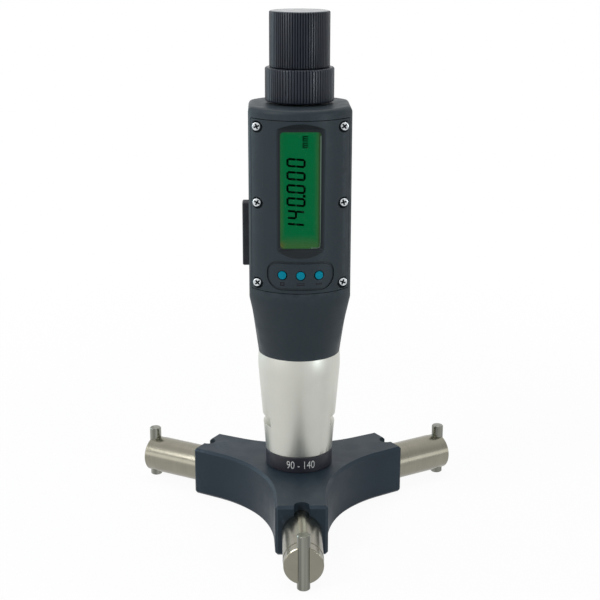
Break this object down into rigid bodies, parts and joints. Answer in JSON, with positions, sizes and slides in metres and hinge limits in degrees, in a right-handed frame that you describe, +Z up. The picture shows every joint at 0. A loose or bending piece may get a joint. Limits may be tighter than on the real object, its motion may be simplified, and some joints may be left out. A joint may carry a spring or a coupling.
{
  "type": "inside micrometer",
  "caption": "Upright digital inside micrometer: star head with measuring rods and pins, tapered sleeve, grey display housing, ribbed collar and friction knob.",
  "frame": {"origin": "on the spindle axis, at the underside of the measuring head, which the instrument stands on", "axes": "+Z up along the spindle axis towards the knob, the display faces -Y, +X to the display's right"},
  "size_m": [0.126, 0.1104, 0.1918],
  "materials": {
    "head_steel": "satin dark grey",
    "plate_steel": "ground",
    "screw_steel": "plated",
    "shaft_steel": "ground",
    "gear_steel": "machined",
    "rod_steel": "ground satin",
    "pin_steel": "lapped",
    "spring_steel": "blued",
    "bush_brass": "turned",
    "ring_paint": "satin black",
    "satin_chrome": "satin",
    "housing_plastic": "fine matt grey",
    "window_glass": "clear",
    "display_glass": "green display",
    "backlight_plastic": "white",
    "board_laminate": "lacquered",
    "mat_rubber": "soft",
    "button_plastic": "turquoise",
    "cover_rubber": "matt black",
    "battery_steel": "plated",
    "holder_plastic": "black",
    "knob_paint": "satin dark grey"
  },
  "bodies": {
    "body": {"measuring_head": "head_steel", "base_plate": "plate_steel", "base_screws": "screw_steel", "guide_keys": "shaft_steel", "lower_bush": "bush_brass", "range_ring": "ring_paint", "coupling_sleeve": "satin_chrome", "middle_bush": "bush_brass", "rear_housing": "housing_plastic", "front_cover": "housing_plastic", "cover_screws": "screw_steel", "display_window": "window_glass", "lcd_panel": "display_glass", "lcd_backlight": "backlight_plastic", "circuit_board": "board_laminate", "key_mat": "mat_rubber", "port_cover": "cover_rubber", "upper_bush": "bush_brass", "encoder_stator": "board_laminate", "battery": "battery_steel", "battery_holder": "holder_plastic"},
    "spindle": {"spindle": "shaft_steel", "crown_gear": "gear_steel", "encoder_rotor": "board_laminate", "thimble_collar": "knob_paint", "friction_disc": "bush_brass", "spring_washers": "spring_steel", "knob_screw": "screw_steel"},
    "knob": {"knob": "knob_paint", "knob_cap": "knob_paint"},
    "screw_front": {"lead_screw_front": "shaft_steel", "bevel_pinion_front": "gear_steel"},
    "rod_front": {"measuring_rod_front": "rod_steel", "contact_pin_front": "pin_steel"},
    "screw_right": {"lead_screw_right": "shaft_steel", "bevel_pinion_right": "gear_steel"},
    "rod_right": {"measuring_rod_right": "rod_steel", "contact_pin_right": "pin_steel"},
    "screw_left": {"lead_screw_left": "shaft_steel", "bevel_pinion_left": "gear_steel"},
    "rod_left": {"measuring_rod_left": "rod_steel", "contact_pin_left": "pin_steel"},
    "button_left": {"button_left": "button_plastic"},
    "button_middle": {"button_middle": "button_plastic"},
    "button_right": {"button_right": "button_plastic"}
  },
  "joints": [
    {"name": "spindle_turn", "type": "hinge", "parent": "body", "child": "spindle", "pos_m": [0, 0, 0.1], "axis": [0, 0, 1], "range_deg": [0, 4500]},
    {"name": "knob_turn", "type": "hinge", "parent": "spindle", "child": "knob", "pos_m": [0, 0, 0.18], "axis": [0, 0, 1], "continuous": true},
    {"name": "screw_turn_front", "type": "hinge", "parent": "body", "child": "screw_front", "pos_m": [0, 0, 0.00912], "axis": [0, -1, 0], "range_deg": [-9000, 0]},
    {"name": "rod_slide_front", "type": "slide", "parent": "body", "child": "rod_front", "axis": [0, -1, 0], "range_m": [-0.025, 0]},
    {"name": "screw_turn_right", "type": "hinge", "parent": "body", "child": "screw_right", "pos_m": [0, 0, 0.00912], "axis": [0.866, 0.5, 0], "range_deg": [-9000, 0]},
    {"name": "rod_slide_right", "type": "slide", "parent": "body", "child": "rod_right", "axis": [0.866, 0.5, 0], "range_m": [-0.025, 0]},
    {"name": "screw_turn_left", "type": "hinge", "parent": "body", "child": "screw_left", "pos_m": [0, 0, 0.00912], "axis": [-0.866, 0.5, 0], "range_deg": [-9000, 0]},
    {"name": "rod_slide_left", "type": "slide", "parent": "body", "child": "rod_left", "axis": [-0.866, 0.5, 0], "range_m": [-0.025, 0]},
    {"name": "press_left", "type": "slide", "parent": "body", "child": "button_left", "axis": [0, 1, 0], "range_m": [0, 0.0005], "stiffness_N_per_m": 400},
    {"name": "press_middle", "type": "slide", "parent": "body", "child": "button_middle", "axis": [0, 1, 0], "range_m": [0, 0.0005], "stiffness_N_per_m": 400},
    {"name": "press_right", "type": "slide", "parent": "body", "child": "button_right", "axis": [0, 1, 0], "range_m": [0, 0.0005], "stiffness_N_per_m": 400}
  ],
  "couplings": [
    {"joint": "screw_turn_front", "follows": "spindle_turn", "ratio": -2},
    {"joint": "rod_slide_front", "follows": "spindle_turn", "m_per_rad": -0.0003183},
    {"joint": "screw_turn_right", "follows": "spindle_turn", "ratio": -2},
    {"joint": "rod_slide_right", "follows": "spindle_turn", "m_per_rad": -0.0003183},
    {"joint": "screw_turn_left", "follows": "spindle_turn", "ratio": -2},
    {"joint": "rod_slide_left", "follows": "spindle_turn", "m_per_rad": -0.0003183}
  ]
}
